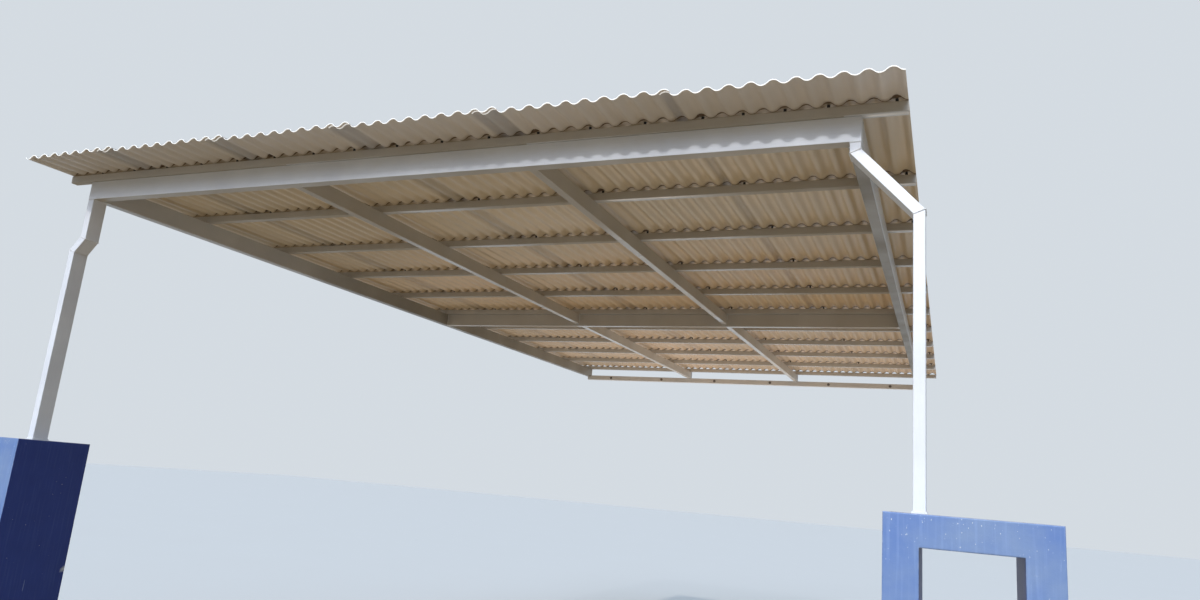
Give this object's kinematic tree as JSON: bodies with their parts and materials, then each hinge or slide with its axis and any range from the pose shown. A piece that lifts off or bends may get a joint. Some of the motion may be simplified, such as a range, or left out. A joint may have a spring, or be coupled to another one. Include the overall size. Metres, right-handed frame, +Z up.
{
  "type": "lean-to carport",
  "caption": "Lean-to carport: cranked tube posts on masonry piers, welded tube frame, corrugated plastic roof and a plate for the house wall.",
  "frame": {"origin": "on the wall plate's back face, at the middle of its height, midway between the outer faces of the post feet", "axes": "+X to the right seen from the street, +Y into the house wall, +Z up"},
  "size_m": [4.823, 6.96, 2.9943],
  "materials": {
    "white_steel": "satin",
    "blue_masonry": "painted render",
    "roof_plastic": "satin"
  },
  "bodies": {
    "root": {"front_beam": "white_steel", "front_rafter_1": "white_steel", "front_rafter_2": "white_steel", "left_foot_plate": "white_steel", "left_pier": "blue_masonry", "left_post": "white_steel", "left_rafter": "white_steel", "mid_beam": "white_steel", "purlin_01": "white_steel", "purlin_02": "white_steel", "purlin_03": "white_steel", "purlin_04": "white_steel", "purlin_05": "white_steel", "purlin_06": "white_steel", "purlin_07": "white_steel", "purlin_08": "white_steel", "purlin_09": "white_steel", "purlin_10": "white_steel", "purlin_11": "white_steel", "rear_rafter_1": "white_steel", "rear_rafter_2": "white_steel", "right_foot_plate": "white_steel", "right_pier": "blue_masonry", "right_post": "white_steel", "right_rafter": "white_steel", "roof_sheet_1": "roof_plastic", "roof_sheet_2": "roof_plastic", "roof_sheet_3": "roof_plastic", "roof_sheet_4": "roof_plastic", "roof_sheet_5": "roof_plastic", "roof_sheet_6": "roof_plastic", "wall_plate": "white_steel"}
  },
  "joints": []
}
